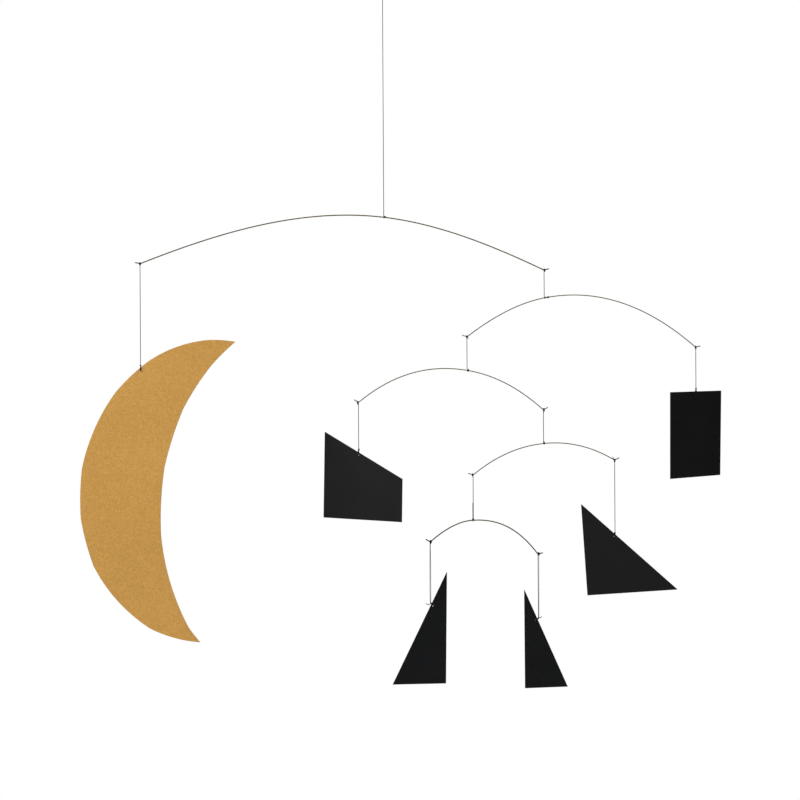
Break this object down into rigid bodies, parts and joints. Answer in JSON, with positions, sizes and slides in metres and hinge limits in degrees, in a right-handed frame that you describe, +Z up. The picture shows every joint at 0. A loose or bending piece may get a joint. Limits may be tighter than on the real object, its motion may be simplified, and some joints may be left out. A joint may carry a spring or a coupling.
{
  "type": "hanging mobile sculpture",
  "caption": "Hanging mobile: arched wire arms in a cascade, each turning on its thread, with a gold crescent card and matt black geometric cards.",
  "frame": {"origin": "where a hook bears inside the loop at the top of the top thread", "axes": "+X to the right along the arms as seen from the front, +Y away from the viewer, +Z up"},
  "size_m": [0.609, 0.1003, 0.6736],
  "materials": {
    "dark_wire": "satin",
    "thread": "matte",
    "gold_card": "satin",
    "black_card": "matte"
  },
  "bodies": {
    "hanger": {"hanging_loop": "thread"},
    "first_arm": {"top_thread": "thread", "first_arm_wire": "dark_wire", "crescent_thread_tie": "thread", "second_arm_thread_tie": "thread"},
    "crescent": {"crescent_thread": "thread", "crescent_card": "gold_card"},
    "second_arm": {"second_arm_thread": "thread", "second_arm_wire": "dark_wire", "third_arm_thread_tie": "thread", "rectangle_thread_tie": "thread"},
    "rectangle": {"rectangle_thread": "thread", "rectangle_card": "black_card"},
    "third_arm": {"third_arm_thread": "thread", "third_arm_wire": "dark_wire", "trapezoid_thread_tie": "thread", "fourth_arm_thread_tie": "thread"},
    "trapezoid": {"trapezoid_thread": "thread", "trapezoid_card": "black_card"},
    "fourth_arm": {"fourth_arm_thread": "thread", "fourth_arm_wire": "dark_wire", "fifth_arm_thread_tie": "thread", "large_triangle_thread_tie": "thread"},
    "large_triangle": {"large_triangle_thread": "thread", "large_triangle_card": "black_card"},
    "fifth_arm": {"fifth_arm_thread": "thread", "fifth_arm_wire": "dark_wire", "left_triangle_thread_tie": "thread", "right_triangle_thread_tie": "thread"},
    "left_triangle": {"left_triangle_thread": "thread", "left_triangle_card": "black_card"},
    "right_triangle": {"right_triangle_thread": "thread", "right_triangle_card": "black_card"}
  },
  "joints": [
    {"name": "first_arm_turn", "type": "hinge", "parent": "hanger", "child": "first_arm", "pos_m": [0, 0, -0.019], "axis": [0, 0, 1], "continuous": true},
    {"name": "crescent_turn", "type": "hinge", "parent": "first_arm", "child": "crescent", "pos_m": [-0.22933, 0, -0.27515], "axis": [0, 0, 1], "continuous": true},
    {"name": "second_arm_turn", "type": "hinge", "parent": "first_arm", "child": "second_arm", "pos_m": [0.15038, 0, -0.28325], "axis": [0, 0, 1], "continuous": true},
    {"name": "rectangle_turn", "type": "hinge", "parent": "second_arm", "child": "rectangle", "pos_m": [0.2925, 0, -0.35625], "axis": [0, 0, 1], "continuous": true},
    {"name": "third_arm_turn", "type": "hinge", "parent": "second_arm", "child": "third_arm", "pos_m": [0.0775, 0, -0.34535], "axis": [0, 0, 1], "continuous": true},
    {"name": "trapezoid_turn", "type": "hinge", "parent": "third_arm", "child": "trapezoid", "pos_m": [-0.0248, 0, -0.40635], "axis": [0, 0, 1], "continuous": true},
    {"name": "fourth_arm_turn", "type": "hinge", "parent": "third_arm", "child": "fourth_arm", "pos_m": [0.149, 0, -0.41415], "axis": [0, 0, 1], "continuous": true},
    {"name": "large_triangle_turn", "type": "hinge", "parent": "fourth_arm", "child": "large_triangle", "pos_m": [0.21568, 0, -0.46205], "axis": [0, 0, 1], "continuous": true},
    {"name": "fifth_arm_turn", "type": "hinge", "parent": "fourth_arm", "child": "fifth_arm", "pos_m": [0.08257, 0, -0.47515], "axis": [0, 0, 1], "continuous": true},
    {"name": "left_triangle_turn", "type": "hinge", "parent": "fifth_arm", "child": "left_triangle", "pos_m": [0.04186, 0, -0.53795], "axis": [0, 0, 1], "continuous": true},
    {"name": "right_triangle_turn", "type": "hinge", "parent": "fifth_arm", "child": "right_triangle", "pos_m": [0.14346, 0, -0.54985], "axis": [0, 0, 1], "continuous": true}
  ]
}
